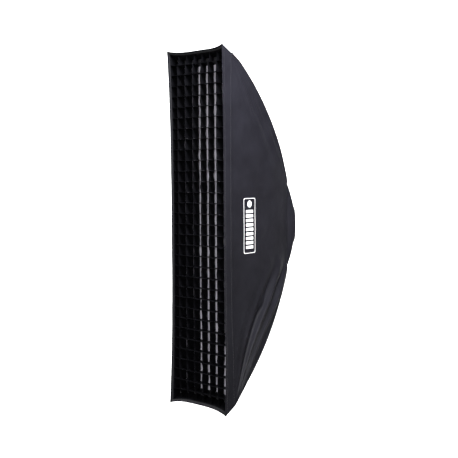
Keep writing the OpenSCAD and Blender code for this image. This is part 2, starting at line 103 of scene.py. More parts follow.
class Nodes:
    """Short ways to add and join shader nodes in one material."""

    def __init__(self, material):
        self.tree = material.node_tree
        self.shader = self.tree.nodes["Principled BSDF"]
        self.place = self.tree.nodes.new("ShaderNodeTexCoord").outputs["Object"]

    def join(self, source, target):
        self.tree.links.new(source, target)

    def noise(self, scale, detail=3.0, roughness=0.55, stretch=None):
        texture = self.tree.nodes.new("ShaderNodeTexNoise")
        texture.inputs["Scale"].default_value = scale
        texture.inputs["Detail"].default_value = detail
        texture.inputs["Roughness"].default_value = roughness
        place = self.place
        if stretch:
            mapping = self.tree.nodes.new("ShaderNodeMapping")
            mapping.inputs["Scale"].default_value = stretch
            self.join(self.place, mapping.inputs["Vector"])
            place = mapping.outputs["Vector"]
        self.join(place, texture.inputs["Vector"])
        return texture.outputs["Fac"]

    def bands(self, scale, direction):
        texture = self.tree.nodes.new("ShaderNodeTexWave")
        texture.wave_type = "BANDS"
        texture.bands_direction = direction
        texture.inputs["Scale"].default_value = scale
        self.join(self.place, texture.inputs["Vector"])
        return texture.outputs["Fac"]

    def math(self, operation, a, b):
        node = self.tree.nodes.new("ShaderNodeMath")
        node.operation = operation
        for socket, value in zip(node.inputs, (a, b)):
            if isinstance(value, (int, float)):
                socket.default_value = value
            else:
                self.join(value, socket)
        return node.outputs[0]

    def colours(self, factor, low, high, start=0.3, end=0.7):
        ramp = self.tree.nodes.new("ShaderNodeValToRGB")
        ramp.color_ramp.elements[0].position = start
        ramp.color_ramp.elements[1].position = end
        ramp.color_ramp.elements[0].color = (*low, 1)
        ramp.color_ramp.elements[1].color = (*high, 1)
        self.join(factor, ramp.inputs["Fac"])
        self.join(ramp.outputs["Color"], self.shader.inputs["Base Color"])

    def roughness(self, factor, low, high):
        spread = self.tree.nodes.new("ShaderNodeMapRange")
        spread.inputs["To Min"].default_value = low
        spread.inputs["To Max"].default_value = high
        self.join(factor, spread.inputs["Value"])
        self.join(spread.outputs["Result"], self.shader.inputs["Roughness"])

    def texture(self, kind):
        """Height of one texture: a noise's arguments, a weave's pitch in metres, or the name of a finish."""
        if kind == "turned":
            return self.bands(180, "Y")
        return self.noise(*kind) if isinstance(kind, tuple) else weave(self, kind)

    def bump(self, *layers):
        """layers are (height socket, depth in metres), coarse first."""
        below = None
        for height, depth in layers:
            bump = self.tree.nodes.new("ShaderNodeBump")
            bump.inputs["Distance"].default_value = depth
            self.join(height, bump.inputs["Height"])
            if below:
                self.join(below, bump.inputs["Normal"])
            below = bump.outputs["Normal"]
        self.join(below, self.shader.inputs["Normal"])


def weave(nodes, pitch):
    """Height of a plain weave: ribs across each axis, so that any face shows two sets. One wave is
    two threads long, and a wave texture of scale 1 has waves of about 0.31 m."""
    scale = 1 / (pitch * 6.4)
    across = nodes.math("ADD", nodes.bands(scale, "X"), nodes.bands(scale, "Y"))
    return nodes.math("MULTIPLY", nodes.math("ADD", across, nodes.bands(scale, "Z")), 0.5)


def make_material(name, plain, tint, gloss=None, bumps=(), **more):
    """plain is (colour, roughness) for the sockets. tint is (noise, low colour, high colour),
    gloss is (noise, least roughness, most) and bumps are (texture, depth in metres), coarse first."""
    material = new_material(name, *plain, **more)
    nodes = Nodes(material)
    nodes.colours(nodes.noise(*tint[0]), *tint[1:])
    if gloss:
        nodes.roughness(nodes.noise(*gloss[0]), *gloss[1:])
    if bumps:
        nodes.bump(*[(nodes.texture(kind), depth) for kind, depth in bumps])
    return material


LOOKS = {
    "coated_cloth": dict(
        plain=((0.007, 0.0068, 0.0092), 0.44), specular=0.025, gloss=((26, 3), 0.38, 0.52),
        tint=((9, 4), (0.0059, 0.0057, 0.0078), (0.0084, 0.0082, 0.0111)),
        bumps=(((22, 5, 0.6), 0.0012), (0.0011, 0.00009))),
    "silver_lining": dict(
        plain=((0.62, 0.62, 0.64), 0.4), metallic=0.75, gloss=((40, 4), 0.28, 0.5),
        tint=((14, 4), (0.55, 0.55, 0.57), (0.70, 0.70, 0.72)),
        bumps=(((38, 6, 0.62), 0.0014), (0.0012, 0.00012))),
    "grid_cloth": dict(
        plain=((0.0023, 0.0023, 0.0029), 0.55), specular=0.03, gloss=((60, 3), 0.42, 0.6),
        tint=((30, 3), (0.0015, 0.0015, 0.0019), (0.0030, 0.0030, 0.0038)),
        bumps=(((45, 4), 0.0008), (0.0010, 0.0001))),
    "white_cloth": dict(
        plain=((0.45, 0.435, 0.49), 0.8), specular=0.1,
        tint=((12, 3), (0.42, 0.405, 0.46), (0.48, 0.465, 0.52)),
        bumps=(((16, 4), 0.0015), (0.0009, 0.00008))),
    "black_webbing": dict(
        plain=((0.010, 0.010, 0.012), 0.7), sheen=0.05, specular=0.3,
        tint=((90, 2), (0.007, 0.007, 0.009), (0.014, 0.014, 0.017)), bumps=((0.0018, 0.0003),)),
    "loop_tape": dict(
        plain=((0.009, 0.009, 0.011), 0.92), sheen=0.1, specular=0.2,
        tint=((700, 2), (0.005, 0.005, 0.006), (0.014, 0.014, 0.016)), bumps=(((1400, 2, 0.8), 0.0006),)),
    "black_metal": dict(
        plain=((0.018, 0.018, 0.020), 0.42), metallic=0.35, gloss=((120, 3), 0.34, 0.52),
        tint=((60, 4), (0.013, 0.013, 0.015), (0.026, 0.026, 0.028)), bumps=(((1500, 2), 0.00006),)),
    "cast_aluminium": dict(
        plain=((0.66, 0.66, 0.68), 0.32), metallic=1.0, gloss=((90, 4), 0.24, 0.42),
        tint=((50, 5), (0.58, 0.58, 0.60), (0.72, 0.72, 0.74)),
        bumps=(("turned", 0.00004), ((300, 3), 0.00006))),
    "steel": dict(
        plain=((0.58, 0.58, 0.60), 0.3), metallic=1.0, gloss=((220, 3, 0.5, (1, 1, 9)), 0.2, 0.42),
        tint=((160, 3), (0.48, 0.48, 0.50), (0.66, 0.66, 0.68)), bumps=(((600, 2), 0.00003),)),
    "black_plastic": dict(
        plain=((0.02, 0.02, 0.021), 0.5), gloss=((150, 3), 0.42, 0.6),
        tint=((70, 3), (0.016, 0.016, 0.017), (0.026, 0.026, 0.027)), bumps=(((900, 3), 0.00008),)),
    "glass_fibre": dict(
        plain=((0.05, 0.046, 0.04), 0.34), gloss=((80, 2), 0.26, 0.42),
        tint=((420, 3, 0.6, (1, 0.12, 0.12)), (0.028, 0.026, 0.023), (0.085, 0.078, 0.068)),
        bumps=(((800, 2, 0.5, (1, 0.1, 0.1)), 0.00005),)),
    "white_ink": dict(
        plain=((0.86, 0.86, 0.87), 0.55), specular=0.4,
        tint=((320, 3), (0.78, 0.78, 0.79), (0.90, 0.90, 0.91)), bumps=((0.0011, 0.00006),)),
    "thread": dict(
        plain=((0.014, 0.014, 0.017), 0.6), sheen=0.1,
        tint=((800, 2), (0.010, 0.010, 0.012), (0.020, 0.020, 0.024)), bumps=(((2500, 2), 0.0001),)),
}
MATERIALS = {name: make_material(name, **look) for name, look in LOOKS.items()}


# ---- mesh helpers
def add_piece(name, shape, materials, body, nodes=(), outward=None, thick=0.0, centred=False,
              smooth=True):
    """A mesh piece on a body, from its points and faces. outward(centre, normal) > 0 says that a face
    looks the right way. thick adds the cloth's thickness behind its face, or to both sides if centred,
    with the second material, if there is one, inside."""
    points, faces = shape
    mesh = bpy.data.meshes.new(name)
    mesh.from_pydata([tuple(p) for p in points], [], faces)
    mesh.update()
    if outward and sum(outward(f.center, f.normal) * f.area for f in mesh.polygons) < 0:
        mesh.flip_normals()
    for material in materials:
        mesh.materials.append(MATERIALS[material])
    if smooth:
        shade_cloth(mesh)
    piece = bpy.data.objects.new(name, mesh)
    bpy.context.scene.collection.objects.link(piece)
    if thick:
        shell = piece.modifiers.new("thickness", "SOLIDIFY")
        shell.thickness = thick
        shell.offset = 0 if centred else -1
        shell.use_even_offset = False
        shell.material_offset = 1 if len(materials) > 1 else 0
    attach(piece, body)
    if nodes:
        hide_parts(*nodes)
    return piece


def add_closed(name, shape, material, body, nodes=(), smooth=True):
    """A closed piece of one material, with its faces turned outward."""
    piece = add_piece(name, shape, [material], body, nodes, smooth=smooth)
    work = bmesh.new()
    work.from_mesh(piece.data)
    bmesh.ops.recalc_face_normals(work, faces=work.faces)
    work.to_mesh(piece.data)
    work.free()


def shade_cloth(mesh):
    """Smooth shading that stops at sharp turns and at the cut edges of the cloth."""
    mesh.shade_smooth()
    mesh.set_sharp_from_angle(angle=math.radians(50))
    loops = np.empty(len(mesh.loops), np.int32)
    sharp = np.empty(len(mesh.edges), bool)
    mesh.loops.foreach_get("edge_index", loops)
    mesh.edges.foreach_get("use_edge_sharp", sharp)
    sharp |= np.bincount(loops, minlength=len(mesh.edges)) == 1
    mesh.edges.foreach_set("use_edge_sharp", sharp)


def grid_faces(rows, columns, closed=False, skip=None, first=0):
    """Quads between the points of a grid, row by row. closed joins each row's last column to its first."""
    faces = []
    for i in range(rows - 1):
        for j in range(columns if closed else columns - 1):
            if skip and skip(i, j):
                continue
            k = (j + 1) % columns
            faces.append((first + i * columns + j, first + i * columns + k,
                          first + (i + 1) * columns + k, first + (i + 1) * columns + j))
    return faces


def tube_faces(rings, size):
    """Faces round a tube of rings, with both ends shut."""
    last = (rings - 1) * size
    return [*grid_faces(rings, size, closed=True), tuple(range(size - 1, -1, -1)),
            tuple(last + k for k in range(size))]


def smooth_step(x):
    x = np.clip(x, 0.0, 1.0)
    return x * x * (3 - 2 * x)


def ripple(points, scale, seed):
    """Smooth noise from -1 to 1 at each point, with features about 1/scale metres across."""
    shift = Vector((seed * 7.31, seed * 3.17, seed * 5.73))
    return np.array([noise.noise(Vector(p) * scale + shift) for p in points])


def tube(path, radius, sides=8):
    """Points and faces of a closed-ended tube along a path."""
    path = [Vector(p) for p in path]
    points = []
    side = None
    for i, p in enumerate(path):
        along = (path[min(i + 1, len(path) - 1)] - path[max(i - 1, 0)]).normalized()
        side = along.orthogonal() if side is None else side - along * side.dot(along)
        side.normalize()
        other = along.cross(side)
        r = radius(i / (len(path) - 1)) if callable(radius) else radius
        for k in range(sides):
            a = 2 * math.pi * k / sides
            points.append(p + (side * math.cos(a) + other * math.sin(a)) * r)
    return points, tube_faces(len(path), sides)


def joined(parts):
    """Several (points, faces) as one."""
    points, faces = [], []
    for some, quads in parts:
        first = len(points)
        points.extend(some)
        faces.extend(tuple(first + i for i in f) for f in quads)
    return points, faces


# ---- the box's own shape, read from the frame
def read_seam():
    """Curves of the corner line over the top right rod, from the lip back to the collar, as polynomials."""
    rows = {}
    for v in NODES["panel_right"].data.vertices:
        key = round(v.co.y, 5)
        x, z = rows.get(key, (0, 0))
        rows[key] = (max(x, v.co.x), max(z, v.co.z))
    line = np.array([(x, y, z) for y, (x, z) in sorted(rows.items())])
    t = np.linspace(0, 1, len(line))
    return [np.polyfit(t, line[:, k], 7) for k in range(3)]


SEAM = read_seam()
SEAM_LIFT = 1.0 * MM  # the cloth's corner lies this far past the edge of the CAD side panel in z
CLOTH = 1.0 * MM


def seam(t):
    """The corner line at t, a number or an array, from 0 at the lip to 1 at the collar."""
    t = np.asarray(t, float)
    return np.polyval(SEAM[0], t), np.polyval(SEAM[1], t), np.polyval(SEAM[2], t) + SEAM_LIFT


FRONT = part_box("lip_right")[0].y
HALF_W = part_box("lip_right")[1].x
HALF_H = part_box("lip_top")[1].z
BACK_X, BACK_Y, BACK_Z = (float(c) for c in seam(0))
LIP = BACK_Y - FRONT
LINE_T = np.linspace(0, 1, 200)
LINE_X, LINE_Y, LINE_Z = seam(LINE_T)

# The cloth stands a little off the upper rods and sits close on the lower ones
EASE_UP = 5.0 * MM
EASE_DOWN = -2.4 * MM


def eased(points):
    """Points of the panels and their seams, let out over the upper rods and drawn in on the lower ones."""
    p = np.array(points, float)
    t = (p[:, 1] - BACK_Y) / (LINE_Y[-1] - BACK_Y)
    ease = np.where(p[:, 2] > 0, EASE_UP, EASE_DOWN) * smooth_step(t / 0.12) * smooth_step((1 - t) / 0.22)
    ease *= smooth_step(np.abs(p[:, 2]) / 0.12)
    near_seam = (p[:, 2] / np.maximum(half_height(p[:, 1]), 0.05)) ** 2 * (p[:, 0] / half_width(p[:, 1])) ** 2
    p[:, 0] += np.sign(p[:, 0]) * 0.6 * ease * near_seam
    p[:, 2] += np.sign(p[:, 2]) * ease * near_seam
    return p


def half_width(y):
    return np.interp(y, np.r_[FRONT, LINE_Y], np.r_[HALF_W, LINE_X])


def half_height(y):
    return np.interp(y, np.r_[FRONT, LINE_Y], np.r_[HALF_H, LINE_Z])


# How far the cloth's pull draws the middle of the lip's sides in and back, and moves its lower corners
PULL_SIDES = 6 * MM
PULL_ENDS = 12 * MM
PULL_BACK = 14 * MM
PULL_BACK_REACH = 52 * MM
PULL_FADE = 0.20  # behind the lip, where the pull has died out
CORNER_DROP = 5 * MM
CORNER_OUT = 9 * MM


def pulled(points):
    """Points moved as the cloth's tension moves the lip, the grid's rim and the front of the panels."""
    p = np.array(points, float)
    hx, hz = half_width(p[:, 1]), half_height(p[:, 1])
    rx, rz = np.clip(np.abs(p[:, 0]) / hx, 0, 1), np.clip(np.abs(p[:, 2]) / hz, 0, 1)
    near_side, near_end = smooth_step((rx - 0.72) / 0.22), smooth_step((rz - 0.91) / 0.06)
    along_side, along_end = 1 - rz ** 3, 1 - rx ** 4
    fade = smooth_step(1 - (p[:, 1] - BACK_Y) / PULL_FADE)
    p[:, 0] -= np.sign(p[:, 0]) * PULL_SIDES * along_side * near_side * fade
    p[:, 2] -= np.sign(p[:, 2]) * PULL_ENDS * along_end * near_end * fade
    p[:, 0] += CORNER_OUT * smooth_step((-p[:, 2] - 0.25) / 0.4) * near_side * (p[:, 0] > 0) * fade
    p[:, 2] -= CORNER_DROP * (p[:, 2] < 0) * rz ** 8 * rx ** 3 * fade
    at_edge = np.clip((FRONT + PULL_BACK_REACH - p[:, 1]) / PULL_BACK_REACH, 0, 1)
    p[:, 1] += PULL_BACK * at_edge * np.maximum(along_side * near_side, along_end * near_end)
    return p


def rod_depth(z):
    """Depth of the rod seam at a height on a side panel."""
    return np.interp(np.abs(z), LINE_Z[::-1], LINE_Y[::-1])


# ---- panels
QUADRANTS = (("top_right", 1, 1), ("top_left", -1, 1), ("bottom_right", 1, -1), ("bottom_left", -1, -1))


def loose_parts(node):
    """Boxes of the separate solids in one CAD node."""
    mesh = NODES[node].data
    keys = [tuple(round(c, 5) for c in v.co) for v in mesh.vertices]
    group = {k: k for k in keys}

    def root(k):
        while group[k] != k:
            group[k] = group[group[k]]
            k = group[k]
        return k

    for e in mesh.edges:
        group[root(keys[e.vertices[0]])] = root(keys[e.vertices[1]])
    found = {}
    for k in set(keys):
        found.setdefault(root(k), []).append(k)
    return [(Vector(map(min, zip(*ks))), Vector(map(max, zip(*ks)))) for ks in found.values()]


STUDS = [(low + high) / 2 for low, high in loose_parts("snap_fasteners")]
SIDE_STUD_X = 0.05  # studs and straps further out than this are on the side panels, the rest on the ends


def ridge(s, centre, width):
    return np.exp(-((s - centre) / width) ** 2)


# Long folds of each side panel, plain in its lower half and faint in its upper: place between lip and
# rod, width, height in mm
RIGHT_FOLDS = [(0.915, 0.045, 12.0), (0.80, 0.040, -9.0), (0.695, 0.055, 15.0), (0.58, 0.05, -7.0),
               (0.47, 0.055, 3.5), (0.30, 0.06, 1.5)]
LEFT_FOLDS = [(0.84, 0.05, 4.5), (0.72, 0.04, -3.0), (0.58, 0.06, 3.5), (0.36, 0.06, 1.5)]


def side_folds(y, z, folds, start, full, sign):
    """Outward height in metres of the tension folds that run from the front corner to the ring."""
    depth = rod_depth(z) - BACK_Y
    s = (y - BACK_Y) / np.maximum(depth, 0.02)
    reach = smooth_step((sign * z - start) / (full - start)) * np.clip(depth / 0.36, 0, 1.1)
    sway = 0.02 * np.sin(z * 9.0) + 0.75 * (np.abs(z) - 0.32)
    height = sum(h * ridge(s + sway, c, w) for c, w, h in folds) * MM
    return height * reach * smooth_step((1 - s) / 0.07) * smooth_step(s / 0.1)


def side_dimples(y, z, dimples):
    """Shallow hollows: place between lip and rod, height, width, half length, depth in mm."""
    s = (y - BACK_Y) / np.maximum(rod_depth(z) - BACK_Y, 0.02)
    depth = sum(-d * MM * ridge(s, c, w) * ridge(z, h, l) for c, h, w, l, d in dimples)
    return depth * smooth_step((1 - s) / 0.06)


RIGHT_DIMPLES = [(0.83, 0.50, 0.05, 0.075, 3.6), (0.62, 0.53, 0.045, 0.05, 2.6),
                 (0.93, 0.44, 0.03, 0.07, 2.0), (0.45, 0.17, 0.10, 0.012, 1.2)]
LEFT_DIMPLES = [(0.8, 0.42, 0.06, 0.09, 3.0), (0.5, 0.25, 0.08, 0.06, 2.2)]


STUD_REACH = 40 * MM


def held_at_studs(out, along, across, studs):
    """Outward height of the cloth, which doesn't sag over a snap fastener's base."""
    for a, b in studs:
        loose = 1 - np.exp(-((along - a) ** 2 + (across - b) ** 2) / STUD_REACH ** 2)
        out = np.where(out < 0, out * loose, out)
    return out


def make_side_panel(name, sign, folds, dimples, seed):
    rows, columns = 160, 300
    t = np.linspace(0, 1, rows)
    v = np.linspace(-1, 1, columns)
    x, y, z = seam(t)
    grid_x, grid_y, grid_z = np.repeat(x, columns), np.repeat(y, columns), np.outer(z, v).ravel()
    s = (grid_y - BACK_Y) / np.maximum(rod_depth(grid_z) - BACK_Y, 0.02)
    free = smooth_step((1 - s) / 0.12) * smooth_step(s / 0.05)
    base = np.stack([grid_x, grid_y, grid_z], 1)
    out = side_folds(grid_y, grid_z, folds, 0.08, 0.36, -1)
    out += 0.25 * side_folds(grid_y, grid_z, folds[:4], 0.20, 0.55, 1)
    out += side_dimples(grid_y, grid_z, dimples)
    out += free * (1.6 * MM * ripple(base, 5.5, seed) + 0.7 * MM * ripple(base, 16.0, seed + 1))
    out -= 1.5 * MM * free * (1 - np.tile(v, rows) ** 2)
    out = held_at_studs(out, grid_y, grid_z, [(c.y, c.z) for c in STUDS if c.x * sign > SIDE_STUD_X])
    points = pulled(eased(np.stack([sign * (grid_x + out), grid_y, grid_z], 1)))
    panel = add_piece(name, (points, grid_faces(rows, columns)), ["coated_cloth", "silver_lining"],
                      "softbox", [name.replace("_cloth", "")], lambda c, n: n.x * sign, CLOTH)
    return panel


def make_end_panel(name, sign, seed):
    rows, columns = 110, 64
    t = np.linspace(0, 1, rows)
    h = np.linspace(-1, 1, columns)
    x, y, z = seam(t)
    slope_y, slope_z = np.gradient(y, t), np.gradient(z, t)
    length = np.hypot(slope_y, slope_z)
    normal_y, normal_z = -slope_z / length, slope_y / length
    grid = np.stack([np.outer(x, h).ravel(), np.repeat(y, columns), np.repeat(z, columns)], 1)
    free = np.outer(smooth_step(t / 0.05) * smooth_step((1 - t) / 0.08), 1 - h ** 2).ravel()
    cross = np.outer(2.2 * MM * np.sin(t * 31 + 0.6 * seed), h ** 2).ravel()
    out = free * (cross - 3 * MM) + free * 2.0 * MM * ripple(grid, 8, seed)
    out = held_at_studs(out, grid[:, 1], grid[:, 0], [(c.y, c.x) for c in STUDS if abs(c.x) < SIDE_STUD_X])
    grid[:, 1] += out * np.repeat(normal_y, columns)
    grid[:, 2] += out * np.repeat(normal_z, columns)
    grid[:, 2] *= sign
    shape = pulled(eased(grid)), grid_faces(rows, columns)
    panel = add_piece(name, shape, ["coated_cloth", "silver_lining"], "softbox",
                      [name.replace("_cloth", "")], lambda c, n: n.z * sign, CLOTH)


# ---- lip
LIP_T = 1.6 * MM
HEM = 13 * MM


def lip_profile():
    """(distance behind the edge, distance inward from the outer face) round the lip's doubled cloth."""
    outer = [LIP, LIP - 1 * MM, 50 * MM, 42 * MM, 32 * MM, 23 * MM,
             HEM + 2 * MM, HEM, HEM - 2 * MM, 8 * MM, 4 * MM, 1.2 * MM]
    inset = []
    for s in outer:
        groove = 0.5 * MM * math.exp(-((s - HEM) / (1.4 * MM)) ** 2)
        swell = 0.7 * MM * math.exp(-((s - 6 * MM) / (5 * MM)) ** 2)
        inset.append((s, groove, swell))
    edge = [(0, 0.4 * MM), (0, LIP_T - 0.2 * MM)]
    return ([(s, groove - swell) for s, groove, swell in inset] + edge
            + [(s, LIP_T - groove + swell) for s, groove, swell in inset[::-1]])


SIDES = ("right", "left", "top", "bottom")
UPRIGHT_SIDES = ("right", "left")


def lip_point(side, s, inward, v):
    """A point of the lip: s behind its edge, inward from its outer face, v from -1 to 1 along the side."""
    y = FRONT + s
    x, z = half_width(y) - inward, half_height(y) - inward
    if side in UPRIGHT_SIDES:
        return (x if side == "right" else -x, y, v * z)
    return (v * x, y, z if side == "top" else -z)


def lip_crumple(points, side, seed, amount):
    """Small creases of the lip, across its face, dying out at the corners."""
    axis = 0 if side in UPRIGHT_SIDES else 2
    along = 2 if axis == 0 else 0
    reach = HALF_H if axis == 0 else HALF_W
    fade = smooth_step((1 - np.abs(points[:, along]) / reach) / 0.04)
    stretched = points * np.array([1.0, 0.7, 1.0])
    points[:, axis] += fade * amount * (ripple(stretched, 14, seed) + 0.5 * ripple(stretched, 40, seed + 3))
    return points


LIP_CREASES = 0.9 * MM


def make_lips():
    profile = lip_profile()
    for number, side in enumerate(SIDES):
        count = 260 if side in UPRIGHT_SIDES else 72
        points = [lip_point(side, s, inward, v) for v in np.linspace(-1, 1, count) for s, inward in profile]
        points = lip_crumple(pulled(points), side, number + 1, LIP_CREASES)
        add_closed(f"lip_cloth_{side}", (points, tube_faces(count, len(profile))), "coated_cloth", "softbox",
                   [f"lip_{side}"])


def layer(side, s0, s1, out, thick, wave, seed, rows=6, stop=0.0):
    """Points and faces of a band that lies along one side of the lip, from s0 to s1 behind the edge,
    and stops short of the corners."""
    count, half = (200, HALF_H) if side in UPRIGHT_SIDES else (50, HALF_W)
    ring = [(s, out) for s in np.linspace(s1, s0, rows)]
    ring += [(s, out + thick) for s in np.linspace(s0, s1, rows)]
    places = np.linspace(-1, 1, count) * (1 - stop / half)
    points = pulled([lip_point(side, s, inward, v) for v in places for s, inward in ring])
    return lip_crumple(points, side, seed, wave), tube_faces(count, len(ring))


# ---- grid
GRID_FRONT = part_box("grid_cross_strips")[0].y
GRID_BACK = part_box("grid_cross_strips")[1].y
STRIP = 1.2 * MM
SLOT = 2.0 * MM


def strip_places():
    """x of each long strip and z of each cross strip, read from the CAD nodes."""
    strips = sorted(name for name in NODES if name.startswith("grid_strip_"))
    across = [sum(c.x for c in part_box(name)) / 2 for name in strips]
    heights = sorted({round(v.co.z, 4) for v in NODES["grid_cross_strips"].data.vertices})
    upright = [(low + high) / 2 for low, high in zip(heights[::2], heights[1::2])]
    return across, upright


LONG_X, CROSS_Z = strip_places()
GRID_INSET = 6 * MM  # the strips' ends lie this far inside the lip
# How far the long strips' back edges lean, towards the middle of the grid at its sides
LEAN_LEFT = 7.0 * MM
LEAN_MIDDLE = 2.0 * MM
LEAN_RIGHT = 6.0 * MM


@functools.lru_cache(maxsize=None)
def bow(kind, i, k, spread):
    """A seeded random bow of one cell wall."""
    return random.Random(kind * 100000 + i * 1000 + k).gauss(0, spread)


def grid_depth(d):
    """y at d, from 0 at the grid's front to 1 at its back."""
    return GRID_FRONT + d * (GRID_BACK - GRID_FRONT)


def grid_shift(points):
    """Moves the grid's cloth as it hangs: back edges lean, rows wander a little, the rim follows the lip."""
    p = np.array(points, float)
    back = (p[:, 1] - GRID_FRONT) / (GRID_BACK - GRID_FRONT)
    left, right = smooth_step((-0.045 - p[:, 0]) / 0.02), smooth_step((p[:, 0] - 0.09) / 0.02)
    mid_height = smooth_step((0.62 - np.abs(p[:, 2])) / 0.14)
    lean = LEAN_LEFT * left + LEAN_RIGHT * right * mid_height - LEAN_MIDDLE * (1 - left) * (1 - right)
    lean *= smooth_step((0.171 - np.abs(p[:, 0])) / 0.03)
    inner = smooth_step((0.168 - np.abs(p[:, 0])) / 0.03) * smooth_step((0.76 - np.abs(p[:, 2])) / 0.03)
    p[:, 0] += back * lean
    p[:, 0] += inner * 1.3 * MM * ripple(p, 6.0, 11)
    p[:, 2] += inner * 1.2 * MM * ripple(p, 9.0, 12)
    return pulled(p)


def strip_mesh(stations, depth_rows, place, slots, slot_front):
    """A strip's sheet: stations along it, rows from front to back, open slots in its front or back half."""
    rows = len(depth_rows)
    middle = rows // 2
    points = [place(a, d) for a in stations for d in depth_rows]

    def skip(i, j):
        centre = (stations[i] + stations[i + 1]) / 2
        in_slot = any(abs(centre - c) < SLOT / 2 - 1e-6 for c in slots)
        return in_slot and (j < middle if slot_front else j >= middle)

    return points, grid_faces(len(stations), rows, skip=skip)


def cell_stations(low, high, crossings, per_cell=6):
    """Stations along a strip with one at each side of every crossing's slot."""
    stops = [low]
    for c in crossings:
        stops += [c - SLOT / 2, c + SLOT / 2]
    stops.append(high)
    stations = []
    for a, b in zip(stops[::2], stops[1::2]):
        stations += list(np.linspace(a, b, per_cell + 1))
    return stations


def cell_fraction(a, crossings, low, high):
    """Which cell a place is in, and how far across it."""
    edges = [low, *crossings, high]
    for k in range(len(edges) - 1):
        if a <= edges[k + 1] + 1e-9:
            return k, (a - edges[k]) / (edges[k + 1] - edges[k])
    return len(edges) - 2, 1.0


DEPTH_ROWS = np.linspace(0, 1, 9)


def make_long_strip(i):
    x0 = LONG_X[i]
    low_z = -half_height(GRID_FRONT) + GRID_INSET
    stations = cell_stations(low_z, -low_z, CROSS_Z)

    def place(a, d):
        k, part = cell_fraction(a, CROSS_Z, low_z, -low_z)
        y = grid_depth(d)
        hump = math.sin(math.pi * part) ** 2
        edge = (1 - 2 * d) ** 2
        shift = hump * (bow(1, i, k, 1.0 * MM) + edge * bow(2, i, k, 1.3 * MM) * (1 if d < 0.5 else -1))
        taper = (half_height(y) - GRID_INSET) / -low_z
        return (x0 + shift, y, a * (1 - (1 - taper) * smooth_step((abs(a) + low_z + 0.06) / 0.06)))

    points, faces = strip_mesh(stations, DEPTH_ROWS, place, CROSS_Z, True)
    add_piece(f"grid_long_strip_{i + 1}", (grid_shift(points), faces), ["grid_cloth"], "grid",
              [f"grid_strip_{i + 1}"], thick=STRIP, centred=True)


def make_cross_strips():
    parts = []
    low_x = -half_width(GRID_FRONT) + GRID_INSET
    stations = cell_stations(low_x, -low_x, LONG_X, 5)
    for k, z0 in enumerate(CROSS_Z):
        def place(a, d):
            i, part = cell_fraction(a, LONG_X, low_x, -low_x)
            y = grid_depth(d)
            hump = math.sin(math.pi * part) ** 2
            sag = -1.1 * MM * (1 - 0.6 * d) + bow(3, i, k, 0.8 * MM) + (0.5 - d) * bow(4, i, k, 2.0 * MM)
            taper = (half_width(y) - GRID_INSET) / -low_x
            return (a * (1 - (1 - taper) * smooth_step((abs(a) + low_x + 0.03) / 0.03)), y, z0 + hump * sag)

        points, faces = strip_mesh(stations, DEPTH_ROWS, place, LONG_X, False)
        parts.append((grid_shift(points), faces))
    add_piece("grid_cross_strips_cloth", joined(parts), ["grid_cloth"], "grid",
              ["grid_cross_strips"], thick=STRIP, centred=True)


def make_grid_bands():
    for n, side in enumerate(SIDES):
        shape = layer(side, GRID_FRONT - FRONT, GRID_BACK - FRONT, 4.0 * MM, 1.2 * MM, wave=0.35 * MM,
                      seed=40 + n, rows=7)
        add_closed(f"grid_band_cloth_{side}", shape, "grid_cloth", "grid", [f"grid_band_{side}"])


# ---- diffusers
def read_corner_cut():
    """How far from each corner the front diffuser's cut corners start."""
    corners = [v.co for v in NODES["front_diffuser"].data.vertices]
    widest = max(c.x for c in corners)
    return max(c.z for c in corners) - max(c.z for c in corners if c.x > widest - 0.5 * MM)


CORNER_CUT = read_corner_cut()
DIFFUSER_INSET = 3.4 * MM
SHEET_T = 0.6 * MM


def make_front_diffuser():
    y = sum(c.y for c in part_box("front_diffuser")) / 2
    hx, hz = half_width(y) - DIFFUSER_INSET, half_height(y) - DIFFUSER_INSET
    rows, columns = 60, 200
    grid = np.array([(a * hx, y, b * hz) for a in np.linspace(-1, 1, rows)
                     for b in np.linspace(-1, 1, columns)])
    free = smooth_step((1 - np.abs(grid[:, 0]) / hx) / 0.2)
    free *= smooth_step((1 - np.abs(grid[:, 2]) / hz) / 0.06)
    grid[:, 1] += free * (0.9 * MM * ripple(grid, 7, 21) + 0.5 * MM)
    over = np.maximum(CORNER_CUT - (hx - np.abs(grid[:, 0])) - (hz - np.abs(grid[:, 2])), 0)
    for k in (0, 2):
        grid[:, k] -= np.sign(grid[:, k]) * over / 2
    faces = [f for f in grid_faces(rows, columns) if any(over[i] == 0 for i in f)]
    used = sorted({i for f in faces for i in f})
    place = {old: new for new, old in enumerate(used)}
    faces = [tuple(place[i] for i in f) for f in faces]
    piece = add_piece("front_diffuser_cloth", (pulled(grid[used]), faces), ["white_cloth"],
                      "diffuser", ["front_diffuser"], lambda c, n: -n.y, SHEET_T)


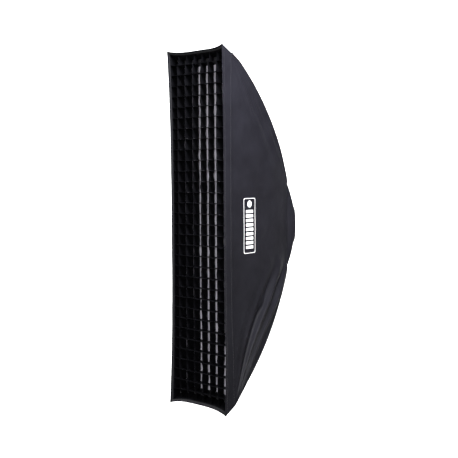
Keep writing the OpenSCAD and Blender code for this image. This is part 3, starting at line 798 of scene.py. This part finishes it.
def make_diffuser_hems():
    """The diffuser's black edge: bands that lie on the loop tape, and a border on its front face."""
    hem0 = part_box("diffuser_hem_right")[0].y - FRONT
    sheet_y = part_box("front_diffuser")[0].y
    border = {"right": 9 * MM, "left": 9 * MM, "top": 34 * MM, "bottom": 34 * MM}
    for n, side in enumerate(SIDES):
        band = layer(side, hem0, sheet_y - FRONT - 1.2 * MM, 2.6 * MM, 0.8 * MM, wave=0.2 * MM, seed=50 + n,
                     stop=CORNER_CUT)
        y = sheet_y - 0.9 * MM
        hx, hz = half_width(y) - DIFFUSER_INSET, half_height(y) - DIFFUSER_INSET
        count = 160 if side in UPRIGHT_SIDES else 50
        insets = (0, border[side]) if side in UPRIGHT_SIDES else (0, CORNER_CUT, border[side])
        ring = [(0, inward) for inward in insets] + [(0.5 * MM, inward) for inward in insets[::-1]]
        points = []
        for v in np.linspace(-1, 1, count):
            for depth, inward in ring:
                if side in UPRIGHT_SIDES:
                    x, z = hx - inward, v * (hz - border["top"])
                    points.append((x if side == "right" else -x, y + depth, z))
                else:
                    x, z = v * (hx - max(0, CORNER_CUT - inward)), hz - inward
                    points.append((x, y + depth, z if side == "top" else -z))
        shape = joined([band, (pulled(points), tube_faces(count, len(ring)))])
        add_closed(f"diffuser_hem_cloth_{side}", shape, "black_webbing", "diffuser", [f"diffuser_hem_{side}"])


def make_loop_tape():
    bands = [layer(side, 5 * MM, 56 * MM, LIP_T + 0.15 * MM, 0.7 * MM, wave=0.1 * MM, seed=60)
             for side in SIDES]
    add_closed("loop_tape_band", joined(bands), "loop_tape", "softbox", ["lip_loop_tape"])


def make_inner_diffuser():
    low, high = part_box("inner_diffuser")
    rows, columns = 40, 130
    y = (low.y + high.y) / 2
    grid = np.array([(a, y, b) for a in np.linspace(low.x, high.x, rows)
                     for b in np.linspace(low.z, high.z, columns)])
    rx, rz = np.abs(grid[:, 0]) / high.x, np.abs(grid[:, 2]) / high.z
    grid[:, 0] *= 1 - 0.035 * (1 - np.cos(rz * math.pi * 3.2) ** 2) * rx ** 4
    grid[:, 2] *= 1 - 0.012 * (1 - rx ** 2) * rz ** 6 * (rx > 0.12)
    grid[:, 1] += 2.5 * MM * ripple(grid, 5, 31) + 1.0 * MM * ripple(grid, 15, 32)
    piece = add_piece("inner_diffuser_cloth", (grid, grid_faces(rows, columns)), ["white_cloth"],
                      "softbox", ["inner_diffuser"], lambda c, n: -n.y, SHEET_T)


def make_baffle_straps():
    """Short webbing straps, each bowed a little with slack, from the inner diffuser to its studs."""
    parts = []
    for low, high in sorted(loose_parts("baffle_straps"), key=lambda b: (b[0].x, b[0].z)):
        size, centre = high - low, (low + high) / 2
        lengthwise = 0 if abs(centre.x) > SIDE_STUD_X else 2
        across = 2 - lengthwise
        points = []
        for u in np.linspace(-0.5, 0.5, 9):
            for w, h in ((-0.5, -0.5), (0, -0.62), (0.5, -0.5), (0.5, 0.5), (0, 0.62), (-0.5, 0.5)):
                p = centre.copy()
                p[lengthwise] += u * size[lengthwise]
                p[across] += w * size[across]
                p.y += h * size.y + 0.9 * MM * math.cos(math.pi * u)
                points.append(p)
        parts.append((points, tube_faces(9, 6)))
    add_closed("baffle_strap_webbing", joined(parts), "black_webbing", "softbox", ["baffle_straps"],
               smooth=False)


# ---- collar, piping, pockets
PANEL_BACK = [float(c) for c in seam(1)]
ELASTIC_LOW, ELASTIC_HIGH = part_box("collar_elastic")
ELASTIC_R = 1.6 * MM
COLLAR_COLUMNS = 360
GATHERS = 46
GATHER_HEIGHT = 1.7 * MM


def back_ring(a):
    """Points of the panels' back edge and of the collar's back edge at the angle a."""
    c, s = math.cos(a), math.sin(a)
    m = 1 / max(abs(c), abs(s))
    n = (abs(c) ** 4 + abs(s) ** 4) ** -0.25
    front = Vector((PANEL_BACK[0] * c * m, PANEL_BACK[1], PANEL_BACK[2] * s * m))
    back = Vector(((ELASTIC_HIGH.x - ELASTIC_R) * c * n, ELASTIC_LOW.y, (ELASTIC_HIGH.z - ELASTIC_R) * s * n))
    return front, back


def collar_angles():
    return [2 * math.pi * (j + 0.5) / COLLAR_COLUMNS for j in range(COLLAR_COLUMNS)]


def gather(a):
    """The gathers of the collar's back edge at the angle a, from 0 to 1."""
    return 0.5 + 0.5 * math.cos(a * GATHERS + 2 * math.sin(3 * a))


def make_collar():
    """Cloth gathered round the speed ring, with a notch for the lock's boss."""
    rows, columns = 22, COLLAR_COLUMNS
    notch_half, notch_front = 8 * MM, -21 * MM
    overlap = 4 * MM  # the collar's front edge goes this far past the panels' back edge
    points = []
    for f in np.linspace(0, 1, rows):
        for a in collar_angles():
            front, back = back_ring(a)
            p = front.lerp(back, f)
            out = Vector((math.cos(a) * 1.2, 0.35, math.sin(a) * 0.8)).normalized()
            swell = 2.6 * MM * math.sin(math.pi * f) ** 0.8
            crease = 0.8 * MM * noise.noise(Vector((a * 4, f * 3, 2.2))) * math.sin(math.pi * f)
            height = gather(a) * GATHER_HEIGHT * f ** 2 + swell + crease
            points.append(p + out * height + Vector((0, -overlap * (1 - f) ** 6, 0)))

    def skip(i, j):
        p = (Vector(points[i * columns + j]) + Vector(points[(i + 1) * columns + (j + 1) % columns])) / 2
        return p.x < 0 and abs(p.z) < notch_half and p.y > notch_front

    add_piece("rear_collar_cloth", (points, grid_faces(rows, columns, closed=True, skip=skip)),
              ["coated_cloth", "silver_lining"], "softbox", ["rear_collar"],
              lambda c, n: n.x * c.x + n.z * c.z, CLOTH)


def make_collar_elastic():
    """The elastic in the collar's back edge, ruffled by the gathers."""
    columns, sides = COLLAR_COLUMNS, 8
    points = []
    for a in collar_angles():
        back = back_ring(a)[1]
        out = Vector((back.x, 0, back.z)).normalized()
        centre = back + out * (gather(a) * GATHER_HEIGHT) + Vector((0, 1.0 * MM, 0))
        r = 1.5 * MM + 0.5 * MM * gather(a)
        for k in range(sides):
            b = 2 * math.pi * k / sides
            points.append(centre + out * r * math.cos(b) + Vector((0, r * math.sin(b), 0)))
    faces = grid_faces(columns, sides, closed=True)
    last = (columns - 1) * sides
    faces += [(last + k, last + (k + 1) % sides, (k + 1) % sides, k) for k in range(sides)]
    add_closed("collar_elastic_band", (points, faces), "black_webbing", "softbox", ["collar_elastic"])


PIPING_R = 2.3 * MM


def make_piping():
    """Piped seams over the four rods."""
    for name, sx, sz in QUADRANTS:
        x, y, z = seam(np.linspace(0, 1, 120))
        path = [(sx * (a + 0.6 * MM), b + 0.9 * MM, sz * (c + 0.9 * MM)) for a, b, c in zip(x, y, z)]
        shape = tube(eased(path), lambda f: PIPING_R * (1 - 0.6 * max(0, (f - 0.96) / 0.04)), 10)
        add_closed(f"piping_{name}", shape, "black_webbing", "softbox")


def middle_of(node):
    vertices = NODES[node].data.vertices
    return sum((v.co for v in vertices), Vector()) / len(vertices)


def make_corner_pockets():
    """Reinforced pockets for the rod tips, with a folded rim."""
    for name, _, _ in QUADRANTS:
        centre = middle_of(f"corner_pocket_{name}")
        lengthwise = (middle_of(f"rod_tip_cap_{name}") - centre).normalized()
        low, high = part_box(f"corner_pocket_{name}")
        span = (high - low).length * 0.5
        start = centre - lengthwise * span * 0.78
        end = centre + lengthwise * span * 0.80
        path = [start.lerp(end, f) for f in np.linspace(0, 1, 24)]

        def radius(f):
            rim = 0.35 * MM * math.exp(-((f - 0.04) / 0.03) ** 2)
            close = 1 - 0.75 * max(0.0, (f - 0.9) / 0.1) ** 2
            return 5.0 * MM * close + rim

        add_closed(f"tip_pocket_{name}", tube(path, radius, 20), "black_webbing", "softbox",
                   [f"corner_pocket_{name}"])


# ---- stitching and print
def stitch_line(path, length=4.2 * MM, gap=2.6 * MM, r=0.45 * MM):
    """Short raised stitches along a path of points on the cloth."""
    path = np.array(path, float)
    steps = np.linalg.norm(np.diff(path, axis=0), axis=1)
    run = np.r_[0, np.cumsum(steps)]
    parts = []
    at = gap
    while at + length < run[-1]:
        a, b = (np.array([np.interp(d, run, path[:, k]) for k in range(3)]) for d in (at, at + length))
        along = (b - a) / np.linalg.norm(b - a)
        side = np.cross(along, [0.31, 0.83, 0.47])
        side /= np.linalg.norm(side)
        other = np.cross(along, side)
        points = []
        for u, w in ((0, 0.4), (0.25, 1), (0.75, 1), (1, 0.4)):
            centre = a + (b - a) * u
            points += [centre + (side * c + other * s) * r * w for c, s in ((1, 0), (0, 1), (-1, 0), (0, -1))]
        parts.append((points, tube_faces(4, 4)))
        at += length + gap
    return joined(parts)


def make_stitching():
    parts = []
    for n, side in enumerate(SIDES):
        count = 400 if side in UPRIGHT_SIDES else 100
        for s, lift in ((HEM, 0.1 * MM), (LIP - 4 * MM, 0.25 * MM)):
            line = [lip_point(side, s, -lift, v) for v in np.linspace(-0.995, 0.995, count)]
            line = lip_crumple(pulled(line), side, n + 1, LIP_CREASES)
            parts.append(stitch_line(line))
    add_closed("lip_stitching", joined(parts), "thread", "softbox")


def make_rod_seam_stitching():
    parts = []
    inward = 7 * MM
    for _, sx, sz in QUADRANTS:
        x, y, z = seam(np.linspace(0.01, 0.985, 200))
        slope = np.stack([np.gradient(y), np.gradient(z)], 1)
        slope /= np.linalg.norm(slope, axis=1)[:, None]
        line = np.stack([sx * (x + 0.2 * MM), y + inward * slope[:, 1], sz * (z - inward * slope[:, 0])], 1)
        parts.append(stitch_line(eased(line)))
    add_closed("rod_seam_stitching", joined(parts), "thread", "softbox")


def rounded_outline(half_x, half_z, radius, steps=10):
    """Points round a rectangle with rounded corners."""
    points = []
    for cx, cz, start in ((1, 1, 0), (-1, 1, 90), (-1, -1, 180), (1, -1, 270)):
        for k in range(steps + 1):
            a = math.radians(start + 90 * k / steps)
            points.append((cx * (half_x - radius) + radius * math.cos(a),
                           cz * (half_z - radius) + radius * math.sin(a)))
    return points


def make_print(panel):
    """A plain printed badge on the right panel: a thin rounded frame round a disc and a ladder of bars."""
    centre_y, centre_z, half_y, half_z = BACK_Y + 0.133, 0.016, 43 * MM, 123 * MM
    line, corner = 2.2 * MM, 8 * MM
    disc_r, disc_z, disc_sides = 15 * MM, half_z - 26 * MM, 24
    bars, first_bar, bar_pitch, half_bar, bar_reach = 9, half_z - 59 * MM, 20 * MM, 6.2 * MM, 26 * MM
    graph = bpy.context.evaluated_depsgraph_get()
    tree = BVHTree.FromObject(panel.evaluated_get(graph), graph)

    def on_cloth(a, b):
        y, z = centre_y + a, centre_z + b
        hit = tree.ray_cast(Vector((1, y, z)), Vector((-1, 0, 0)))[0]
        return Vector((hit.x + 0.35 * MM, y, z))

    def resampled(loop, step):
        dense = []
        for (a0, b0), (a1, b1) in zip(loop, loop[1:] + loop[:1]):
            n = max(1, int(math.hypot(a1 - a0, b1 - b0) / step))
            dense += [(a0 + (a1 - a0) * k / n, b0 + (b1 - b0) * k / n) for k in range(n)]
        return dense

    parts = []
    outer = resampled(rounded_outline(half_y, half_z, corner), 5 * MM)
    scale = np.array([(half_y - line) / half_y, (half_z - line) / half_z])
    ring = [on_cloth(a, b) for a, b in outer] + [on_cloth(*(np.array(p) * scale)) for p in outer]
    parts.append((ring, grid_faces(2, len(outer), closed=True)))
    disc = [on_cloth(0, disc_z)]
    disc += [on_cloth(disc_r * math.cos(a), disc_z + disc_r * math.sin(a))
             for a in np.linspace(0, 2 * math.pi, disc_sides + 1)[:-1]]
    parts.append((disc, [(0, k, k % disc_sides + 1) for k in range(1, disc_sides + 1)]))
    for k in range(bars):
        middle = first_bar - k * bar_pitch
        bar = [on_cloth(a, middle + b) for a in np.linspace(-bar_reach, bar_reach, 9)
               for b in (-half_bar, half_bar)]
        parts.append((bar, grid_faces(9, 2)))
    piece = add_piece("side_print", joined(parts), ["white_ink"], "softbox",
                      outward=lambda c, n: n.x)
    ink = piece.modifiers.new("ink", "SOLIDIFY")
    ink.thickness = 0.25 * MM
    ink.offset = -1


# ---- CAD nodes that stay
HARD_SLOTS = {"black_metal", "cast_aluminium", "steel", "black_plastic", "glass_fibre"}
EDGE_ANGLE = math.radians(32)


def finish_cad_nodes():
    """Materials, smooth shading and broken edges on the hard parts, which keep their CAD shape."""
    for row in frame["record"]["subparts"]:
        node, slot = NODES[row["node"]], row["material_slot"]
        if slot not in HARD_SLOTS:
            continue
        node.data.materials.clear()
        node.data.materials.append(MATERIALS[slot])
        node.data.shade_smooth()
        node.data.set_sharp_from_angle(angle=EDGE_ANGLE)
        if slot != "glass_fibre":
            weld = node.modifiers.new("weld", "WELD")
            weld.merge_threshold = 0.00001
            edge = node.modifiers.new("edge", "BEVEL")
            edge.width = 0.35 * MM
            edge.segments = 2
            edge.limit_method = "ANGLE"
            edge.angle_limit = EDGE_ANGLE
            edge.harden_normals = True


# ---- studio
def make_studio():
    """A pale sweep of floor and backdrop, turned to the camera."""
    floor_z, back_y, rise = -1.75, 6.0, 3.0
    profile = [(-9.0, floor_z), (back_y - rise, floor_z)]
    profile += [(back_y - rise + rise * math.sin(a), floor_z + rise * (1 - math.cos(a)))
                for a in np.linspace(0, math.pi / 2, 24)[1:]]
    profile.append((back_y, 9.0))
    turn = Matrix.Rotation(math.radians(CAMERA_YAW), 3, "Z")
    points = [turn @ Vector((x, y, z)) for y, z in profile for x in (-14, 14)]
    mesh = bpy.data.meshes.new("sweep")
    mesh.from_pydata([tuple(p) for p in points], [], grid_faces(len(profile), 2))
    mesh.shade_smooth()
    mesh.materials.append(make_material("sweep_paint", ((0.93, 0.93, 0.93), 0.9), specular=0.1,
                                        tint=((2.5, 3), (0.925, 0.925, 0.925), (0.935, 0.935, 0.935))))
    sweep = bpy.data.objects.new("sweep", mesh)
    bpy.context.scene.collection.objects.link(sweep)


def add_light(name, place, aim, size, energy, spread, diffuse=True, glossy=True):
    data = bpy.data.lights.new(name, "AREA")
    data.shape = "RECTANGLE"
    data.size, data.size_y = size
    data.energy = energy
    data.spread = math.radians(spread)
    light = bpy.data.objects.new(name, data)
    bpy.context.scene.collection.objects.link(light)
    light.visible_diffuse = diffuse
    light.visible_glossy = glossy
    light.location = place
    light.rotation_euler = (Vector(aim) - Vector(place)).to_track_quat("-Z", "Y").to_euler()


def make_lights():
    """Even world light and five lamps. The key stays out of reflections, or the top panel would glare from
    behind, and fold_glint shows in nothing else."""
    world = bpy.data.worlds.new("studio")
    world.use_nodes = True
    background = world.node_tree.nodes["Background"]
    background.inputs["Color"].default_value = (1.0, 1.0, 1.0, 1)
    background.inputs["Strength"].default_value = 0.45
    bpy.context.scene.world = world
    add_light("overhead", (0.9, -0.7, 2.6), (0.2, -0.4, 0.5), (1.0, 1.0), 5, spread=100)
    add_light("key_right", (1.25, -1.15, 1.9), (0.15, -0.35, 0.58), (0.8, 0.8), 60, spread=70, glossy=False)
    add_light("fold_glint", (2.2, 0.0, -0.1), (0.17, -0.4, -0.4), (0.4, 1.0), 20, spread=50, diffuse=False)
    add_light("front", (0.9, -4.2, 0.4), (0, -0.6, 0), (1.0, 1.6), 11, spread=60)
    add_light("backdrop", (-2.0, 2.4, 3.2), (-4.0, 4.6, -0.4), (4.0, 4.0), 380, spread=120)
    bpy.context.scene.view_settings.view_transform = "Standard"


# ---- build
make_camera(aim=Vector((0, FRONT, 0)))
right_panel = make_side_panel("panel_right_cloth", 1, RIGHT_FOLDS, RIGHT_DIMPLES, 1)
make_side_panel("panel_left_cloth", -1, LEFT_FOLDS, LEFT_DIMPLES, 5)
make_end_panel("panel_top_cloth", 1, 3)
make_end_panel("panel_bottom_cloth", -1, 4)
make_lips()
make_loop_tape()
make_diffuser_hems()
make_front_diffuser()
for strip in range(len(LONG_X)):
    make_long_strip(strip)
make_cross_strips()
make_grid_bands()
make_baffle_straps()
make_inner_diffuser()
make_collar()
make_collar_elastic()
make_piping()
make_corner_pockets()
make_stitching()
make_rod_seam_stitching()
make_print(right_panel)
finish_cad_nodes()
make_studio()
make_lights()
